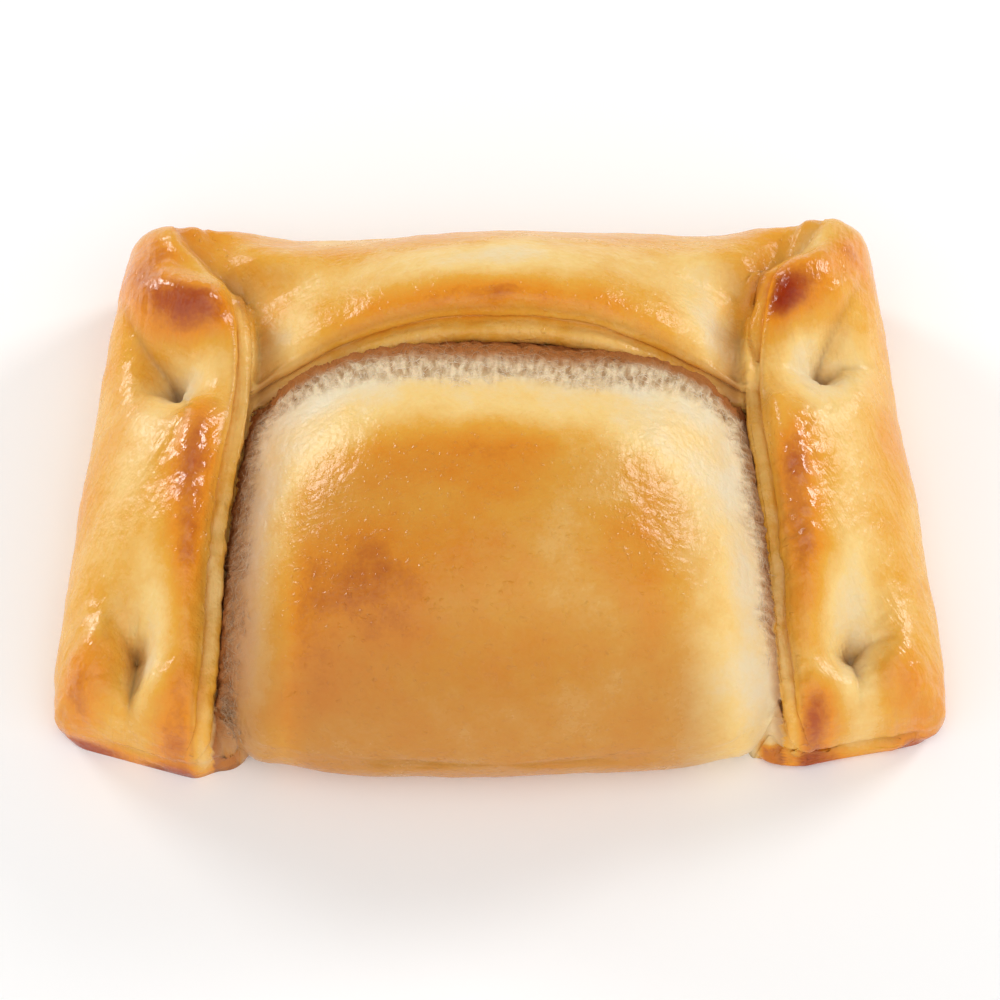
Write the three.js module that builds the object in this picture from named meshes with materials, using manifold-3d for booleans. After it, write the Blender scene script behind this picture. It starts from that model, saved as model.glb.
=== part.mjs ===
// A baked empanada: a filling wrapped in dough, the back edge folded over it first and the two side
// edges folded over the ends of the back one. It is one piece of food, solid all through.
import * as THREE from 'three';
import { LoftGeometry } from 'three/addons/geometries/LoftGeometry.js';
import { mergeVertices } from 'three/addons/utils/BufferGeometryUtils.js';
import Module from 'manifold-3d';

const { abs, cos, exp, hypot, max, min, pow, sign, sin, sqrt, PI } = Math;
const { clamp, lerp } = THREE.MathUtils;

// Sizes are millimetres: X to the right, Y to the back, Z up from the tray it was baked on.

// Filled middle, which bulges up between the flaps and rolls over a fold at the front.
const CROWN = 46;
const FOLD = 13;
const BELLY = { frontY: -51.7, crownY: -14, backY: 26, frontHalf: 48.5, backHalf: 46, frontBow: 4 };
const BELLY_PLAN = { front: 7, back: 4 };
const BELLY_FALL = { side: 0.46, front: 0.45, back: 0.55, power: 2.3 };
const BELLY_RIM = 5;
const BELLY_UNDER = 7;
const BELLY_LUMPS = 0.02;

// Dough of a flap: two layers with a groove between them along the inner edge.
const LAYER = 3.6;
const LAYER_STEP = 2.2;
const GROOVE = 0.9;
const RIM = 8.5;
const RIM_DROP = 3;
const BEND_REACH = 0.55;
const BEND_RISE = 0.8;
const BEND_UNDER = 4;
const UNEVEN = 0.2;
const SINK = 2;

// Inner wall of a flap, which runs down into the filled middle, less so at the ends.
const TUCK = 5;
const END_TUCK = -3;

// Rounding of a flap's ends, as shares of its length, and of their corners.
const FRONT_ROUND = { reach: 0.095, power: 3.2 };
const BACK_ROUND = { reach: 0.09, power: 2 };
const CORNER_ROUND = 0.05;
const CORNER_INSET = 4;
const END_TOP = 0.1;
const END_UNDER = 0.8;

// Pinched dimples are sharp and swellings are soft.
const PIT_POWER = 1.5;
const SWELL_POWER = 2;

// Side flaps at evenly spaced places from the front to the back corner: the outer fold and the inner
// edge seen from above, the height of the fold's widest point, of its bend and of the ridge.
const LEFT_FLAP = {
  outerX: [-75.4, -75.2, -73.9, -72.6, -70.6, -68, -65.4],
  outerY: [-41, -29, -15, 0, 15, 33, 51],
  innerX: [-48.4, -46.8, -46.2, -44.4, -42.6, -43.8, -52.5],
  innerY: [-49, -33, -17, -2, 13, 30, 51],
  bulge: [5, 7.5, 8.5, 9, 9.5, 12, 13],
  bend: [14.5, 15.5, 16.5, 17.5, 19, 24.5, 27],
  ridge: [18.5, 24.5, 29, 31.5, 32, 31, 28.5],
  relief: [
    { x: -55, y: 16, rise: -13, long: 8, wide: 4.6, turn: -0.95 },
    { x: -61, y: -32.5, rise: -9.5, long: 9, wide: 3.8, turn: 1.65 },
    { x: -57, y: 28.5, rise: 3.5, long: 11, wide: 5.5, turn: -0.1 },
    { x: -69, y: -34, rise: 1.6, long: 7, wide: 4, turn: 1.5 },
    { x: -54, y: -41, rise: 1.6, long: 6, wide: 5, turn: 0.3 },
  ],
};
const RIGHT_FLAP = {
  outerX: [75.2, 75.1, 73.4, 71.8, 69.7, 67.4, 64.8],
  outerY: [-40.5, -29, -15, 0, 15, 33, 51],
  innerX: [47.6, 45.4, 44.8, 43, 41.6, 43.8, 52.5],
  innerY: [-47, -32, -17, -2, 13, 30, 51],
  bulge: [5, 7.5, 8.5, 9, 9.5, 12, 13],
  bend: [14, 15.5, 16.5, 17.5, 19, 24.5, 27],
  ridge: [17.5, 24, 28.5, 31, 32, 31, 28.5],
  relief: [
    { x: 54, y: 17.5, rise: -12, long: 9, wide: 4.6, turn: 0.5 },
    { x: 58.5, y: -31, rise: -9, long: 7.5, wide: 4.2, turn: 1.1 },
    { x: 56, y: 29.5, rise: 3.5, long: 11, wide: 5.5, turn: 0.1 },
    { x: 69, y: -33.5, rise: 1.6, long: 7, wide: 4.5, turn: 1.6 },
    { x: 52.5, y: -39.5, rise: 1.6, long: 6, wide: 5, turn: -0.3 },
  ],
};

// Back flap at evenly spaced places from left to right; its ends lie under the side flaps.
const BACK_FLAP = {
  outerX: [-57, -38, -19, 0, 19, 38, 57],
  outerY: [51, 51.6, 51.6, 52, 52, 51.8, 51],
  innerX: [-55, -38, -19, 0, 19, 38, 55],
  innerY: [4, 12.8, 17.7, 18.3, 16.4, 11.8, 4],
  bulge: [9, 10, 10, 10, 10, 10, 9],
  bend: [28, 25, 24.5, 25.5, 25.5, 25.5, 28],
  ridge: [20, 29, 37.5, 41, 39, 30, 20],
  relief: [],
};

// Lips of the bottom sheet, which show under the front ends of the side flaps.
const LEFT_LIP = { side: -1, innerX: 42, outerX: 62, frontY: -48.5 };
const RIGHT_LIP = { side: 1, innerX: 43, outerX: 72, frontY: -49.5 };
const LIP = { depth: 14, top: 4.5, slant: 0.27, corner: 5 };

// Fineness of the forms.
const BELLY_ROWS = 30;
const BELLY_COLUMNS = 36;
const FLAP_STATIONS = 46;
const UNDER_STEPS = 3;
const TOP_STEPS = 12;
const RIM_STEPS = 4;
const LAYER_STEPS = 5;
const LIP_ROWS = 10;
const LIP_ROUND = 12;

// A smooth value along a flap from its evenly spaced values.
function along(values, share) {
  const curve = new THREE.SplineCurve(values.map((value, i) => new THREE.Vector2(i, value)));
  return curve.getPoint(clamp(share, 0, 1)).y;
}

// Height of a rounded form that is 1 in the middle and falls to 0 at a share of 1.
function rounded(share, power) {
  return sqrt(max(0, 1 - pow(abs(share), power)));
}

// The filled middle, from the front fold to under the back flap.
function makeBelly() {
  const sections = [];
  for (let row = 0; row <= BELLY_ROWS; row += 1) {
    const q = -cos((PI * row) / BELLY_ROWS);
    const reach = q < 0 ? BELLY.crownY - BELLY.frontY : BELLY.backY - BELLY.crownY;
    const half = lerp(BELLY.frontHalf, BELLY.backHalf, (q + 1) / 2);
    const plan = lerp(BELLY_PLAN.front, BELLY_PLAN.back, (q + 1) / 2);
    const widest = pow(max(0, 1 - pow(abs(q), plan)), 1 / plan);
    const fallAlong = (q < 0 ? BELLY_FALL.front : BELLY_FALL.back) * pow(abs(q), BELLY_FALL.power);
    const top = [];
    const under = [];
    for (let column = 0; column <= BELLY_COLUMNS; column += 1) {
      const p = -cos((PI * column) / BELLY_COLUMNS) * widest;
      const rim = column % BELLY_COLUMNS === 0 || row % BELLY_ROWS === 0;
      const share = rim ? 1 : pow(pow(abs(p), plan) + pow(abs(q), plan), 1 / plan);
      const fallAcross = BELLY_FALL.side * pow(abs(p), BELLY_FALL.power);
      const lumps = BELLY_LUMPS * (sin(4.4 * p + 0.8) * cos(3.7 * q + 0.5) + 0.5 * sin(7.3 * p - 5.2 * q));
      const dome = rounded(share, BELLY_RIM) * (1 + lumps - fallAlong - fallAcross);
      const bow = BELLY.frontBow * p * p * min(q, 0) * min(q, 0);
      const place = new THREE.Vector3(p * half, BELLY.crownY + q * reach + bow, FOLD);
      top.push(place.clone().setZ(FOLD + (CROWN - FOLD) * dome));
      under.push(place.clone().setZ(FOLD - (FOLD + SINK) * rounded(share, BELLY_UNDER)));
    }
    sections.push([...top, ...under.slice(1, -1).reverse()]);
  }
  return new LoftGeometry(sections, { closed: true });
}

// Outline of a flap cut across, as distance in from its outer fold and height.
function flapOutline(width, bulge, bend, ridge, tuck) {
  const outline = [];
  const rim = min(RIM, 0.4 * width);
  for (let i = 0; i < UNDER_STEPS; i += 1) {
    const angle = (PI / 2) * (1 - i / UNDER_STEPS);
    outline.push([BEND_UNDER * (1 - cos(angle)), bulge - (bulge + SINK) * sin(angle)]);
  }
  const top = new THREE.CubicBezierCurve(
    new THREE.Vector2(0, bulge),
    new THREE.Vector2(0, bend),
    new THREE.Vector2((width - rim) * BEND_REACH, lerp(bend, ridge, BEND_RISE)),
    new THREE.Vector2(width - rim, ridge),
  );
  for (const point of top.getPoints(TOP_STEPS)) {
    outline.push([point.x, point.y]);
  }
  for (let i = 1; i <= RIM_STEPS; i += 1) {
    const angle = (PI / 2) * (i / RIM_STEPS);
    outline.push([width - rim + (rim - LAYER_STEP) * sin(angle), ridge - RIM_DROP * (1 - cos(angle))]);
  }
  outline.push([width - LAYER_STEP - GROOVE, ridge - RIM_DROP - GROOVE]);
  const lowerLayer = ridge - RIM_DROP - GROOVE - LAYER / 2;
  for (let i = 0; i <= LAYER_STEPS; i += 1) {
    const angle = PI * (0.45 - (0.8 * i) / LAYER_STEPS);
    outline.push([width - LAYER_STEP * (1 - cos(angle)), lowerLayer + (LAYER / 2) * sin(angle)]);
  }
  outline.push([width + tuck, lerp(lowerLayer, -SINK, 0.6)]);
  outline.push([width + tuck, -SINK]);
  return outline;
}

// Height that the pinched dimples and the swellings of a flap add at a place seen from above.
function reliefAt(relief, x, y) {
  let height = 0;
  for (const spot of relief) {
    const toX = x - spot.x;
    const toY = y - spot.y;
    const lengthwise = toX * cos(spot.turn) + toY * sin(spot.turn);
    const crosswise = toY * cos(spot.turn) - toX * sin(spot.turn);
    const spread = hypot(lengthwise / spot.long, crosswise / spot.wide);
    height += spot.rise * exp(-pow(spread, spot.rise < 0 ? PIT_POWER : SWELL_POWER));
  }
  return height;
}

// A folded flap with rounded ends; a flap on the right is turned so that its faces point out.
function makeFlap(flap, turned) {
  const sections = [];
  for (let station = 0; station <= FLAP_STATIONS; station += 1) {
    const share = (1 - cos((PI * station) / FLAP_STATIONS)) / 2;
    const outer = new THREE.Vector2(along(flap.outerX, share), along(flap.outerY, share));
    const inner = new THREE.Vector2(along(flap.innerX, share), along(flap.innerY, share));
    const width = outer.distanceTo(inner);
    const bulge = along(flap.bulge, share);
    const round = share < 0.5 ? FRONT_ROUND : BACK_ROUND;
    const toEnd = min(share, 1 - share);
    const fullness = rounded(max(0, 1 - toEnd / round.reach), round.power);
    const inset = CORNER_INSET * (1 - rounded(max(0, 1 - toEnd / CORNER_ROUND), 2));
    const uneven = UNEVEN * (sin(19 * share + outer.x) + 0.6 * sin(43 * share + 2 * outer.x));
    const outline = flapOutline(
      width,
      bulge,
      along(flap.bend, share),
      along(flap.ridge, share) + uneven,
      lerp(END_TUCK, TUCK, fullness),
    );
    const section = outline.map(([reach, height]) => {
      const place = outer.clone().lerp(inner, lerp(inset, width - inset, reach / width) / width);
      const above = (height + reliefAt(flap.relief, place.x, place.y) - bulge) * max(END_TOP, fullness);
      const below = (height - bulge) * max(END_UNDER, fullness);
      return new THREE.Vector3(place.x, place.y, bulge + (height > bulge ? above : below));
    });
    sections.push(turned ? section.reverse() : section);
  }
  return new LoftGeometry(sections, { closed: true, capStart: true, capEnd: true });
}

// A lip of the bottom sheet on one side, with a rounded front.
function makeLip({ side, innerX, outerX, frontY }) {
  const sections = [];
  for (let row = 0; row <= LIP_ROWS; row += 1) {
    const back = LIP.depth * pow(row / LIP_ROWS, 2);
    const fullness = max(0.2, rounded(max(0, 1 - back / LIP.corner), 2));
    const inset = LIP.corner * (1 - fullness);
    const radius = (LIP.top / 2) * sqrt(fullness);
    const half = (outerX - innerX) / 2 - inset - radius;
    const section = [];
    for (let i = 0; i < LIP_ROUND; i += 1) {
      const angle = (2 * PI * (i + 0.5)) / LIP_ROUND;
      const x = (innerX + outerX) / 2 + cos(angle) * radius + sign(cos(angle)) * half;
      const y = frontY + back + LIP.slant * (x - innerX);
      section.push(new THREE.Vector3(side * x, y, LIP.top / 2 + sin(angle) * radius));
    }
    sections.push(side < 0 ? section : section.reverse());
  }
  return new LoftGeometry(sections, { closed: true, capStart: true, capEnd: true });
}

const wasm = await Module();
wasm.setup();

// A closed form as a solid that can be joined with others.
function solid(form) {
  const bare = new THREE.BufferGeometry();
  bare.setAttribute('position', form.attributes.position);
  bare.setIndex(form.index);
  const welded = mergeVertices(bare, 1e-4);
  const mesh = new wasm.Mesh({
    numProp: 3,
    vertProperties: new Float32Array(welded.attributes.position.array),
    triVerts: new Uint32Array(welded.index.array),
  });
  return new wasm.Manifold(mesh);
}

// Everything below the tray is cut off, which leaves a flat underside.
const aboveTray = new THREE.BoxGeometry(200, 200, 100);
aboveTray.translate(0, 0, 50);

const body = solid(makeBelly())
  .add(solid(makeFlap(BACK_FLAP, false)))
  .add(solid(makeFlap(LEFT_FLAP, false)))
  .add(solid(makeFlap(RIGHT_FLAP, true)))
  .add(solid(makeLip(LEFT_LIP)))
  .add(solid(makeLip(RIGHT_LIP)))
  .intersect(solid(aboveTray));

const joined = body.getMesh();
const geometry = new THREE.BufferGeometry();
geometry.setAttribute('position', new THREE.BufferAttribute(joined.vertProperties, 3));
geometry.setIndex(new THREE.BufferAttribute(joined.triVerts, 1));

// The origin is the middle of the footprint, on the tray.
geometry.computeBoundingBox();
const middle = geometry.boundingBox.getCenter(new THREE.Vector3());
geometry.translate(-middle.x, -middle.y, 0);
geometry.computeVertexNormals();

const crust = new THREE.MeshStandardMaterial({ color: 0xe3b566, roughness: 0.55, metalness: 0 });
const empanada = new THREE.Mesh(geometry, crust);
empanada.name = 'empanada';

const group = new THREE.Group();
group.add(empanada);

export default group;
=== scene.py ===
"""A baked empanada: its crust with folds, dimples, blisters and browning, the torn crumb along its
flaps, and a plain studio stage around it."""

import random
from collections import namedtuple
from math import cos, radians, sin

import bmesh
import bpy
import numpy as np
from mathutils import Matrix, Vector, noise


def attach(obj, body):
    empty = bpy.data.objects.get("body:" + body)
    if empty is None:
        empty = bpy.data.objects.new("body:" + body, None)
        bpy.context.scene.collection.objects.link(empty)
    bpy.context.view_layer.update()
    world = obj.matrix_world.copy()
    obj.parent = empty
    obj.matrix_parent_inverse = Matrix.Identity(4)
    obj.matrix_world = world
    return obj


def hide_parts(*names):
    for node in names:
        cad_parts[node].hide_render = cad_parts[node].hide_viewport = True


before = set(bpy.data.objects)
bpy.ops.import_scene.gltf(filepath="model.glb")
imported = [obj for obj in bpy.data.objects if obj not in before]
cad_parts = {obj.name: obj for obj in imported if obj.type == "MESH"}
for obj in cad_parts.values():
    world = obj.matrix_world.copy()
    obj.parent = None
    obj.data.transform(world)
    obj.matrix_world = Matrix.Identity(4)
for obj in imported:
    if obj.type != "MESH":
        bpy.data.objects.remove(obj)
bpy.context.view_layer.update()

bl_info = {
    "name": "Baked empanada",
    "version": (1, 0, 0),
    "blender": (4, 5, 0),
    "location": "View3D > Sidebar > Empanada",
    "description": "Makes the crust and crumb of a folded empanada and a studio stage for it",
    "category": "Object",
}

MM = 0.001
NODE = "empanada"

# Places are millimetres in the frame: x to the right, y to the back, seen from above.

# Side flaps' layers end at these tips, and behind them the dough rolls over without an edge.
TIP_Y = 31
SOFT_TURNS = 30

# Inner edges of the flaps, each with its flap on the left-hand side of the line.
LEFT_EDGE = [
    (-49.5, -62), (-48.3, -49), (-46.7, -33), (-46.1, -17),
    (-44.3, -2), (-42.5, 13), (-43.7, 30), (-52.4, 51),
]
RIGHT_EDGE = [
    (52.6, 51), (43.9, 30), (41.7, 13), (43.1, -2),
    (44.9, -17), (45.5, -32), (47.7, -47), (49.5, -62),
]
BACK_EDGE = [(-55, 4), (-38, 12.6), (-19, 17.5), (0, 18.1), (19, 16.2), (38, 11.6), (55, 4)]

# A soft round spot on the crust: its middle, half length, half width, turn in degrees and amount.
Spot = namedtuple("Spot", "x y long wide turn amount")

# Browning of the filled middle.
BELLY_BROWN = [
    Spot(-4, -11, 18, 8, 0, 0.16),
    Spot(-30, -31, 12, 9, 20, 0.22),
    Spot(-16, -36, 12, 8, 0, 0.16),
    Spot(25, -27, 12, 11, -30, 0.11),
    Spot(-9, -28, 9, 6, 0, 0.1),
    Spot(14, -15, 9, 7, 0, -0.2),
    Spot(-28, -45, 12, 6, 0, 0.06),
    Spot(8, -32, 10, 8, 0, -0.06),
    Spot(0, -52, 50, 5, 0, -0.05),
    Spot(33, -41, 8, 9, 0, -0.1),
]

# Browning of the flaps: ridges, rolled corners and front corners, and the dough that stayed pale round the
# dimples and in the valleys.
FLAP_BROWN = [
    Spot(-51, 2, 17, 3.8, 95, 0.24),
    Spot(-52.3, -20, 17, 3.4, 91, 0.27),
    Spot(-61, 32.5, 9, 4.5, 128, 0.28),
    Spot(-52.5, 25.5, 8.5, 4.8, -12, 0.32),
    Spot(-50.2, 26.2, 4.0, 2.8, 10, 0.1),
    Spot(-57, 42, 9, 7, 30, 0.2),
    Spot(-70, -39, 8, 5, 60, 0.24),
    Spot(-54.5, -45, 7, 5, 90, 0.22),
    Spot(49.5, -3, 15, 3.3, 80, 0.26),
    Spot(51.5, -19, 15, 3.4, 88, 0.27),
    Spot(49.5, 28.2, 8, 6, 20, 0.36),
    Spot(48.6, 28, 3.6, 4, 0, 0.27),
    Spot(60.5, 38.5, 8, 4.5, 48, 0.24),
    Spot(52, -44, 4.6, 4.6, 0, 0.36),
    Spot(69, -40, 9, 6, -40, 0.18),
    Spot(67, 2, 24, 5, 80, 0.05),
    Spot(-12, 40, 16, 4, 0, 0.05),
    Spot(-62, -49, 13, 4, 0, 0.2),
    Spot(-53.5, 14, 8, 5.5, 60, -0.42),
    Spot(-56.5, 18.5, 5, 3, 130, -0.14),
    Spot(-58, -25, 12, 5, 100, -0.20),
    Spot(-58.8, -38, 8, 4, 90, -0.34),
    Spot(-62, -3, 10, 5, 80, -0.12),
    Spot(53.5, 14, 11, 5.5, 95, -0.44),
    Spot(61, 17, 6, 5, 60, -0.16),
    Spot(58, -26, 11, 6, 80, -0.24),
    Spot(60, -37, 9, 4, 90, -0.28),
    Spot(60, 2, 11, 4, 80, -0.14),
    Spot(60, -14, 10, 5, 85, -0.12),
    Spot(-35, 27, 9, 6, 60, 0.02),
    Spot(35, 27, 9, 6, -60, -0.12),
    Spot(0, 32, 36, 5, 0, -0.29),
    Spot(-37.5, 21, 8, 4.5, 65, -0.26),
    Spot(37.5, 20.5, 8, 4.5, -65, -0.28),
    Spot(-57, 43, 6, 2, -55, -0.18),
    Spot(55, 41, 6, 2.5, 45, -0.22),
]

# A line along the dough that sinks at its start by a depth and at its end by a share of that, with the
# reach of its slope on either hand. A depth below zero is a rise.
Crease = namedtuple("Crease", "depth share left right path")

# Pinched creases, which start in the pits.
PINCHES = [
    Crease(
        4.6, 0.1, 3.0, 1.0,
        [(-55.1, 16), (-56.7, 18.6), (-58.7, 20.6), (-60.9, 23.1), (-63.7, 27.5), (-65.5, 33)],
    ),
    Crease(2.2, 0.1, 0.9, 2.2, [(-55.1, 15.8), (-58, 14.8), (-61.5, 13.6)]),
    Crease(5.6, 0.2, 2.2, 0.7, [(-61.3, -31.6), (-61.4, -35), (-61.5, -39.5), (-62.1, -44)]),
    Crease(2.6, 0.1, 1.0, 1.6, [(-61.4, -32.2), (-62.9, -30.1), (-64.5, -28)]),
    Crease(
        3.8, 0.1, 0.9, 2.0,
        [(54.6, 17.4), (54.9, 19.3), (55.4, 21), (56.7, 23.5), (59.5, 28), (62.8, 35)],
    ),
    Crease(3.0, 0.1, 0.9, 1.6, [(54.7, 17.5), (57, 18.1), (59.5, 19), (62.2, 19.6), (65.5, 20.9)]),
    Crease(1.4, 0.1, 2.0, 1.0, [(54.6, 17.2), (57.4, 13.8)]),
    Crease(3.8, 0.1, 0.9, 2.2, [(57.9, -32.2), (59.6, -31.5), (62.2, -31.2), (65.4, -31)]),
    Crease(2.8, 0.2, 2.0, 0.9, [(58.8, -32.5), (59.4, -36), (59.6, -40), (60.2, -42.5)]),
]

# The ridges, the rolled corners' crests and the back flap's crest.
CRESTS = [
    Crease(-1.6, 0.6, 2.5, 2.5, [(-50.5, 9), (-51.5, -5), (-52.3, -20), (-52.4, -33)]),
    Crease(
        -1.0, 1.2, 3.2, 4.0,
        [(-46, 29.6), (-49.7, 28.6), (-52.9, 28.4), (-55.7, 29.2), (-59.1, 32.2), (-63.5, 38)],
    ),
    Crease(-1.6, 0.6, 2.5, 2.5, [(46.8, 8), (49.3, -4), (51.2, -12), (51.5, -32)]),
    Crease(
        -3.4, 0.4, 3.6, 3.6,
        [(44.8, 32.6), (49, 33.6), (53, 35), (57, 37.5), (60.5, 41), (63, 44)],
    ),
    Crease(-0.7, 0.5, 2.4, 2.4, [(0, 22.6), (-14, 22.2), (-31, 19.6)]),
    Crease(-0.7, 0.5, 2.4, 2.4, [(0, 22.6), (14, 22.2), (30, 19.3)]),
]

# Shallow folds where the dough was pulled towards the corners and dimples.
FOLDS = [
    Crease(
        2.6, 0.3, 0.9, 3.4,
        [(-45.8, 32.8), (-47, 33.9), (-49.2, 35.6), (-51.1, 38.2), (-53.6, 41), (-56, 45)],
    ),
    Crease(0.9, 0.5, 1.6, 1.6, [(-51.6, 33.4), (-56.2, 37.9), (-59.1, 42.9)]),
    Crease(0.5, 0.1, 0.9, 0.9, [(-61, 24), (-64, 28), (-67, 33)]),
    Crease(2.6, 0.3, 3.4, 0.9, [(46.4, 36), (48.5, 37.6), (51.8, 39.7), (53.8, 42), (55.6, 45.2)]),
    Crease(0.8, 0.5, 1.6, 1.6, [(53, 38.2), (56.5, 41), (59, 45)]),
    Crease(0.7, 0.1, 1.3, 0.9, [(57, 22), (61, 27), (65, 33)]),
    Crease(0.6, 0.1, 1.2, 0.8, [(53, 26), (57, 31), (60, 36)]),
    Crease(0.5, 0.1, 0.9, 0.9, [(-37, 22), (-40, 29), (-45, 38)]),
    Crease(0.5, 0.1, 0.9, 0.9, [(37, 22), (40, 29), (45, 38)]),
    Crease(2.6, 0.6, 3.4, 4.6, [(-40.6, 14), (-41, 20), (-42.4, 28)]),
    Crease(2.6, 0.6, 4.6, 3.4, [(39.8, 13), (40.4, 20), (42, 28)]),
]

# Shade in the folds where the rolled corners lie on the back flap.
TUCKS = [
    Crease(
        0.65, 0.4, 0.5, 3.0,
        [(-45, 29), (-46, 32.8), (-49.2, 35.6), (-51.1, 38.2), (-53.6, 41), (-56, 45)],
    ),
    Crease(
        0.65, 0.4, 3.0, 0.5,
        [(44.6, 31), (46.4, 36), (48.5, 37.6), (51.8, 39.7), (53.8, 42), (55.6, 45.2)],
    ),
]

# Soft filling of the pits that the creases are cut into.
PIT_FILL = [
    Spot(-54.9, 15.8, 8, 4.6, -54, 2.2),
    Spot(-60.9, -32.7, 9, 3.8, 94, 2.4),
    Spot(54.1, 17.3, 9, 4.6, 29, 5.2),
    Spot(58.6, -31.2, 7.5, 4.2, 63, 1.6),
]
PIT_POWER = 1.5

# Dough that swells beside the pits.
SWELLS = [
    Spot(62, 15, 9, 4.5, 85, 1.6),
    Spot(-58.7, -37.5, 5.5, 2.2, 90, 1.5),
    Spot(-67, -33, 6, 3, 70, 0.8),
    Spot(66, -36, 7, 4, -50, 1.0),
]

# Dough that is higher or lower behind the tips and along the back.
BACK_SWELLS = [
    Spot(-53, 48, 5, 4, 0, 3.6),
    Spot(53.5, 47.5, 6, 5, 0, 5.2),
    Spot(-62, 46, 5, 7, 0, -1.8),
    Spot(61.5, 45, 5, 7, 0, -1.7),
    Spot(-8, 47, 46, 7, 0, -1.9),
    Spot(-41, 47, 8, 6, 0, -2.2),
    Spot(42, 47, 6, 6, 0, -1.6),
]

# Dough that is duller than the rest, and, below zero, ridges and corners that shine more.
DULLNESS = [
    Spot(-51.5, 0, 16, 4, 95, -0.9),
    Spot(50, -8, 18, 4, 82, -0.9),
    Spot(-57, 31, 10, 5, -35, -0.5),
    Spot(66, -35, 9, 5, -50, -0.5),
    Spot(-69, -36, 9, 5, 70, -0.4),
    Spot(57, -3, 13, 4, 85, 0.55),
    Spot(-35, 25, 12, 8, 40, 0.8),
    Spot(35, 25, 12, 8, -40, 0.8),
    Spot(-45, 42, 8, 6, -40, 0.7),
    Spot(45, 42, 8, 6, 40, 0.7),
    Spot(48.6, 28, 3, 3, 0, 0.5),
    Spot(53.5, 15, 8, 6, 90, 0.5),
    Spot(-54, 15, 8, 6, 60, 0.5),
]

# Middles of the fine rings that drying left on the filled middle, and how far the rings reach.
RINGS = [(-31, -5), (28, -12)]
RING_REACH = 13

# Middle of the filled part, towards which the torn fibres point.
BELLY = Vector((0, -22, 20))

# Where the camera looks.
LOOK_AT = Vector((0, -4.17, 18))

# Starts of the random draws for the blisters and for the fibres.
BLISTER_SEED = 7
FIBRE_SEED = 11

# Points of the frame's solid that lie closer than this are one.
WELD = 0.002 * MM

# Slant of the side flaps' fine wrinkles against their edges, in degrees.
SIDE_SLANT = 24

# Width of the two dough layers that show along a flap's edge.
LAYERS = 3.1

# Patches of blisters: where they lie, how many, how wide and how high they are.
Blisters = namedtuple("Blisters", "x y long wide turn count width rise")

BLISTERS = [
    Blisters(-51.5, -2, 13, 2.5, 95, 70, (1.0, 2.6), 0.6),
    Blisters(-52.3, -19, 9, 2.2, 91, 34, (1.0, 2.2), 0.4),
    Blisters(-57, 30, 9, 3.5, -35, 50, (1.0, 3.0), 0.40),
    Blisters(-69, -36, 7, 3.5, 70, 50, (1.2, 2.8), 0.40),
    Blisters(-53.5, -41, 6, 3, 90, 22, (1.0, 2.4), 0.25),
    Blisters(50, -8, 14, 2.4, 82, 74, (1.0, 2.6), 0.6),
    Blisters(50, 29, 6, 4, 10, 22, (1.2, 3.0), 0.32),
    Blisters(62, 37, 6, 3, -40, 20, (1.2, 3.4), 0.30),
    Blisters(52, -42.5, 4, 3, 0, 26, (1.0, 2.6), 0.5),
    Blisters(66, -35, 8, 4.5, -50, 60, (1.4, 3.4), 0.42),
    Blisters(0, 21.5, 28, 1.6, 0, 44, (0.9, 2.0), 0.18),
    Blisters(-22, -12, 12, 9, 30, 70, (0.9, 2.2), 0.16),
    Blisters(16, -15, 14, 9, -20, 90, (0.9, 2.2), 0.2),
]

# Single large blisters, scorched at the rolled corners.
BIG_BLISTERS = [Spot(-50.3, 26.4, 3.6, 2.4, 10, 0.8), Spot(49.8, 28.4, 2.2, 1.9, 20, 1.0)]


def linear(code):
    """A colour written as six hexadecimal digits, as the shader's linear values."""
    parts = [int(code[i:i + 2], 16) / 255 for i in (0, 2, 4)]
    return [c / 12.92 if c <= 0.04045 else ((c + 0.055) / 1.055) ** 2.4 for c in parts]


def colour_property(name, description, code):
    """A colour that a user can change."""
    return bpy.props.FloatVectorProperty(
        name=name, description=description, subtype="COLOR", size=3, min=0, max=1, default=linear(code)
    )


class CrustSettings(bpy.types.PropertyGroup):
    """Relief and colours of the crust."""

    fineness: bpy.props.IntProperty(
        name="Fineness", description="Times that the folded form is divided", default=2, min=1, max=3
    )
    swell: bpy.props.FloatProperty(
        name="Swell", description="Height of the broad unevenness, in millimetres", default=0.35, min=0
    )
    tear: bpy.props.FloatProperty(
        name="Tear",
        description="Depth of the torn crumb along the flaps, in millimetres",
        default=0.6,
        min=0,
    )
    ragged: bpy.props.FloatProperty(
        name="Ragged edge",
        description="Unevenness of the lower layer's edge, in millimetres",
        default=0.4,
        min=0,
    )
    pale: colour_property("Pale", "Dough that stayed pale in the folds", "e6d6b3")
    cream: colour_property("Cream", "Dough of the flaps' pads", "efc97d")
    gold: colour_property("Gold", "Evenly baked crust", "e3a43a")
    amber: colour_property("Amber", "Well-baked patches", "e18c1c")
    brown: colour_property("Brown", "Ridges and corners", "b0541a")
    burnt: colour_property("Burnt", "Scorched blisters", "96300c")
    # Painted shade: dark colour mixed into the bottoms of the creases, the groove between the layers and
    # the front ledge.
    crevice_shade: colour_property("Crevice", "Bottoms of creases and of the groove between layers", "8a4c1e")
    # Painted shade: the crumb's colour in the light and a darker copy of it for the hollows, placed by
    # noise.
    crumb: colour_property("Crumb", "Torn crumb in the light", "efd6b0")
    crumb_hollow_shade: colour_property("Hollow", "Hollows in the torn crumb", "ab7f52")
    # Painted shade: colour mixed in close under the flaps, in the back flap's valleys and towards the
    # filled middle's front; the same colour also gives the baked middle its darker bake.
    gap: colour_property("Gap", "Torn crumb and dough close under the flaps", "aa682f")


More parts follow.
